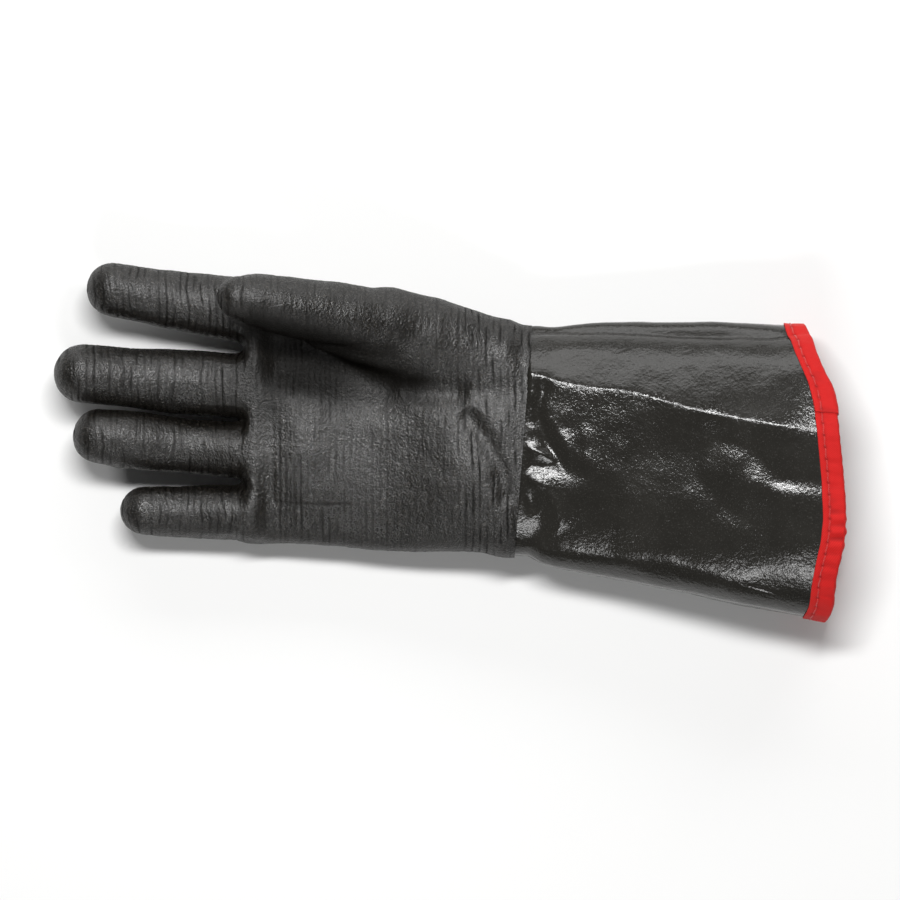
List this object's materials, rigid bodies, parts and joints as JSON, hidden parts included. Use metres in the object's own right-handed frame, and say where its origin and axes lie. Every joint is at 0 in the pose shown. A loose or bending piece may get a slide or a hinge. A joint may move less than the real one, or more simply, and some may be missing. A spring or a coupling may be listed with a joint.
{
  "type": "cryogenic gauntlet glove",
  "caption": "Insulated long-cuff glove for handling very cold items: rubber-coated hand with bending digits, flared smooth gauntlet and bound cuff.",
  "frame": {"origin": "on the resting plane under the middle of the wrist, 1 mm inside the hem of the hand", "axes": "+X along the forearm out of the cuff, fingers towards -X; +Y towards the thumb side; +Z out of the palm, with the glove lying on the back of the hand"},
  "size_m": [0.355, 0.1619, 0.073],
  "materials": {
    "coat": "rough crinkled",
    "gauntlet_coat": "smooth glossy",
    "foam": "matte foam",
    "lining": "matte knit",
    "tape": "woven twill",
    "thread": "twisted thread"
  },
  "bodies": {
    "hand": {"palm_coat": "coat", "palm_insulation": "foam", "palm_lining": "lining", "wrist_seam": "lining"},
    "gauntlet": {"gauntlet_coat": "gauntlet_coat", "gauntlet_lining": "lining", "cuff_binding": "tape", "binding_stitches": "thread"},
    "thumb_base": {"thumb_base_coat": "coat", "thumb_base_insulation": "foam", "thumb_base_lining": "lining"},
    "thumb_tip": {"thumb_tip_coat": "coat", "thumb_tip_insulation": "foam", "thumb_tip_lining": "lining"},
    "index_base": {"index_base_coat": "coat", "index_base_insulation": "foam", "index_base_lining": "lining"},
    "index_tip": {"index_tip_coat": "coat", "index_tip_insulation": "foam", "index_tip_lining": "lining"},
    "middle_base": {"middle_base_coat": "coat", "middle_base_insulation": "foam", "middle_base_lining": "lining"},
    "middle_tip": {"middle_tip_coat": "coat", "middle_tip_insulation": "foam", "middle_tip_lining": "lining"},
    "ring_base": {"ring_base_coat": "coat", "ring_base_insulation": "foam", "ring_base_lining": "lining"},
    "ring_tip": {"ring_tip_coat": "coat", "ring_tip_insulation": "foam", "ring_tip_lining": "lining"},
    "little_base": {"little_base_coat": "coat", "little_base_insulation": "foam", "little_base_lining": "lining"},
    "little_tip": {"little_tip_coat": "coat", "little_tip_insulation": "foam", "little_tip_lining": "lining"}
  },
  "joints": [
    {"name": "wrist_bend", "type": "hinge", "parent": "hand", "child": "gauntlet", "pos_m": [0, 0, 0.022], "axis": [0, 1, 0], "range_deg": [-20, 20]},
    {"name": "thumb_swing", "type": "hinge", "parent": "hand", "child": "thumb_base", "pos_m": [-0.075, 0.054, 0.044], "axis": [-0.3052, 0.0483, -0.9511], "range_deg": [-20, 35]},
    {"name": "thumb_tip_bend", "type": "hinge", "parent": "thumb_base", "child": "thumb_tip", "pos_m": [-0.1013, 0.05817, 0.05265], "axis": [0.3052, -0.0483, 0.9511], "range_deg": [0, 45]},
    {"name": "index_base_bend", "type": "hinge", "parent": "hand", "child": "index_base", "pos_m": [-0.136, 0.0589, 0.0175], "axis": [0.1633, 0.9866, 0], "range_deg": [-10, 40]},
    {"name": "index_tip_bend", "type": "hinge", "parent": "index_base", "child": "index_tip", "pos_m": [-0.16159, 0.06314, 0.01931], "axis": [0.1633, 0.9866, 0], "range_deg": [0, 75]},
    {"name": "middle_base_bend", "type": "hinge", "parent": "hand", "child": "middle_base", "pos_m": [-0.136, 0.0241, 0.0175], "axis": [0.0802, 0.9968, 0], "range_deg": [-10, 60]},
    {"name": "middle_tip_bend", "type": "hinge", "parent": "middle_base", "child": "middle_tip", "pos_m": [-0.16583, 0.0265, 0.01959], "axis": [0.0802, 0.9968, 0], "range_deg": [0, 75]},
    {"name": "ring_base_bend", "type": "hinge", "parent": "hand", "child": "ring_base", "pos_m": [-0.136, -0.0046, 0.0165], "axis": [0.1028, 0.9947, 0], "range_deg": [-10, 60]},
    {"name": "ring_tip_bend", "type": "hinge", "parent": "ring_base", "child": "ring_tip", "pos_m": [-0.16279, -0.00183, 0.01838], "axis": [0.1028, 0.9947, 0], "range_deg": [0, 75]},
    {"name": "little_base_bend", "type": "hinge", "parent": "hand", "child": "little_base", "pos_m": [-0.136, -0.0334, 0.015], "axis": [0.0244, 0.9997, 0], "range_deg": [-10, 60]},
    {"name": "little_tip_bend", "type": "hinge", "parent": "little_base", "child": "little_tip", "pos_m": [-0.15595, -0.03291, 0.01639], "axis": [0.0244, 0.9997, 0], "range_deg": [0, 75]}
  ]
}
